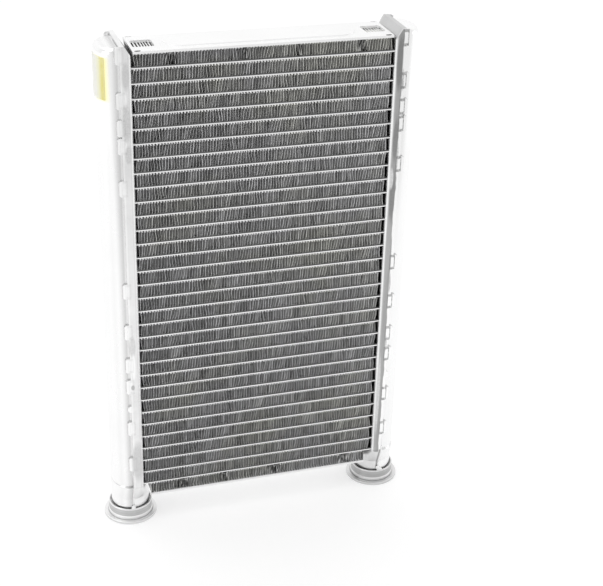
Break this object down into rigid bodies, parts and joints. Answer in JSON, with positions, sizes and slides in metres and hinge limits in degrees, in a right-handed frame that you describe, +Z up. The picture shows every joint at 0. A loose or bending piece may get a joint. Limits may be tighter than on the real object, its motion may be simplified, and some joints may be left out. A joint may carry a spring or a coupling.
{
  "type": "heater core",
  "caption": "Brazed aluminium heater core: flat tubes and folded fins between two upright tanks, each with a round connector at its foot.",
  "frame": {"origin": "middle of the core's width and depth, on the plane of the two connector rims that it stands on", "axes": "+Z up along the tanks, +X across the core along the tubes, +Y through the core's depth away from the pictured face"},
  "size_m": [0.1704, 0.0288, 0.2681],
  "materials": {
    "tubes": "bright brazed aluminium sheet",
    "fins": "thin folded aluminium foil, matte from brazing",
    "header_plates": "pressed aluminium sheet with dull brazing marks",
    "tank_shells": "satin aluminium sheet",
    "connectors": "turned aluminium with fine lathe lines",
    "side_plates": "bright pressed aluminium sheet",
    "label": "pale yellow film label, blank"
  },
  "bodies": {
    "root": {"tube_01": "tubes", "tube_02": "tubes", "tube_03": "tubes", "tube_04": "tubes", "tube_05": "tubes", "tube_06": "tubes", "tube_07": "tubes", "tube_08": "tubes", "tube_09": "tubes", "tube_10": "tubes", "tube_11": "tubes", "tube_12": "tubes", "tube_13": "tubes", "tube_14": "tubes", "tube_15": "tubes", "tube_16": "tubes", "tube_17": "tubes", "tube_18": "tubes", "tube_19": "tubes", "tube_20": "tubes", "tube_21": "tubes", "tube_22": "tubes", "tube_23": "tubes", "tube_24": "tubes", "tube_25": "tubes", "tube_26": "tubes", "tube_27": "tubes", "tube_28": "tubes", "tube_29": "tubes", "tube_30": "tubes", "tube_31": "tubes", "tube_32": "tubes", "fin_bank_01": "fins", "fin_bank_02": "fins", "fin_bank_03": "fins", "fin_bank_04": "fins", "fin_bank_05": "fins", "fin_bank_06": "fins", "fin_bank_07": "fins", "fin_bank_08": "fins", "fin_bank_09": "fins", "fin_bank_10": "fins", "fin_bank_11": "fins", "left_header_plate": "header_plates", "right_header_plate": "header_plates", "left_tank_shell": "tank_shells", "right_tank_shell": "tank_shells", "left_connector": "connectors", "right_connector": "connectors", "top_side_plate": "side_plates", "bottom_side_plate": "side_plates", "label": "label"}
  },
  "joints": []
}
